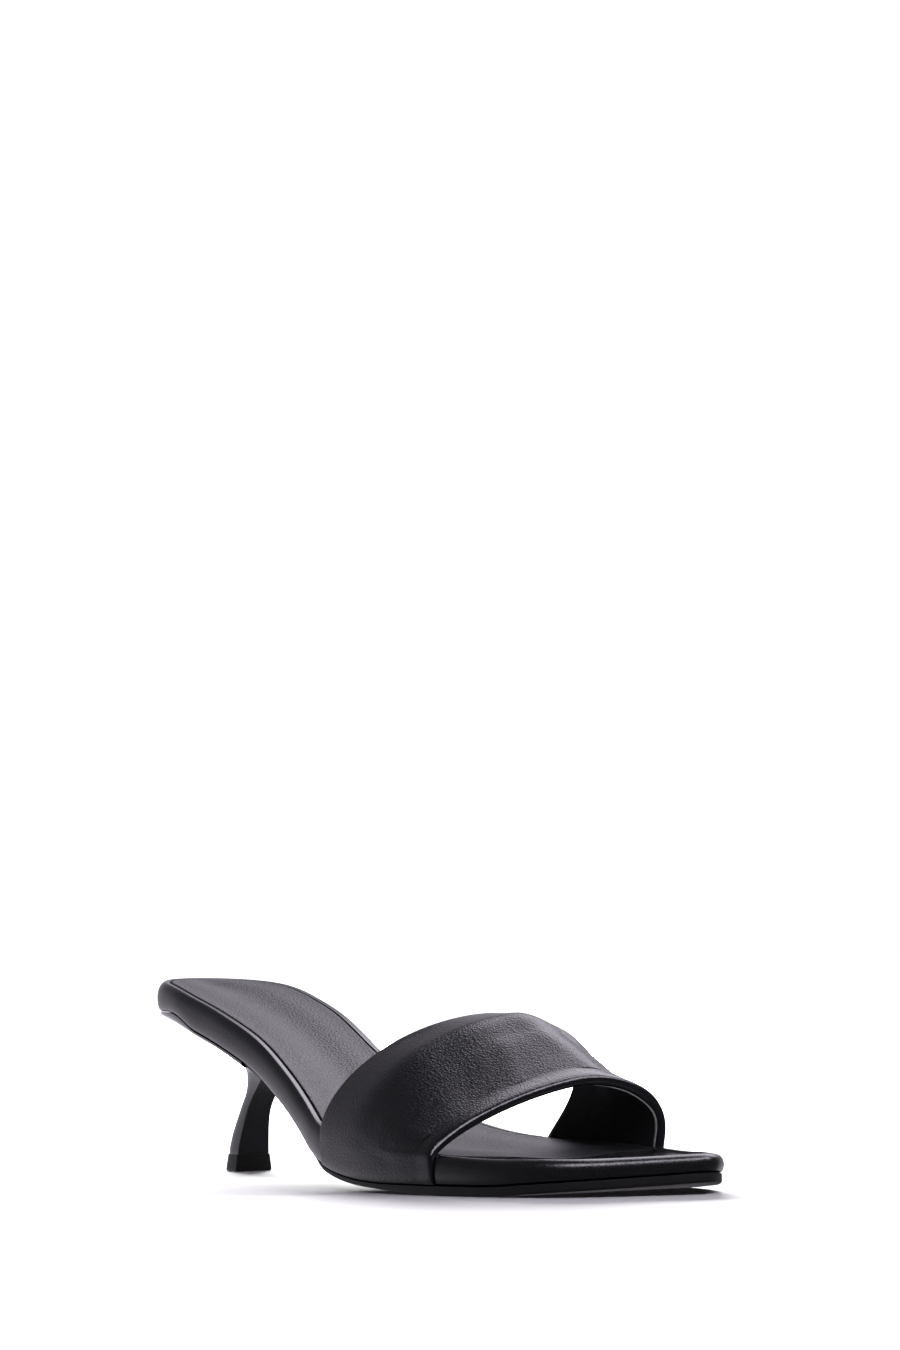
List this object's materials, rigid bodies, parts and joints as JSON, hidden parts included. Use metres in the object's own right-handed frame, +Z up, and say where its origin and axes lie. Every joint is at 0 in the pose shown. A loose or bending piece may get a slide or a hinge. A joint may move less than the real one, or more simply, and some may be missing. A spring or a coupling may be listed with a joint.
{
  "type": "kitten heel mule",
  "caption": "Open-toe, open-back mule for the right foot: a wide smooth band over a wrapped footbed on a slim low waisted heel.",
  "frame": {"origin": "middle of the shoe's floor plan, on the floor", "axes": "+X from the heel towards the toe, +Y towards the big-toe side, +Z up from the floor"},
  "size_m": [0.239, 0.0826, 0.0571],
  "materials": {
    "outsole_rubber": "matte, finely textured",
    "footbed_leather": "smooth semi-gloss",
    "insole_leather": "fine grain, satin",
    "upper_leather": "fine pebbled grain, semi-gloss",
    "heel_lacquer": "gloss lacquer",
    "top_piece_rubber": "satin"
  },
  "bodies": {
    "root": {"outsole": "outsole_rubber", "footbed": "footbed_leather", "insole": "insole_leather", "upper": "upper_leather", "heel": "heel_lacquer", "top_piece": "top_piece_rubber"}
  },
  "joints": []
}
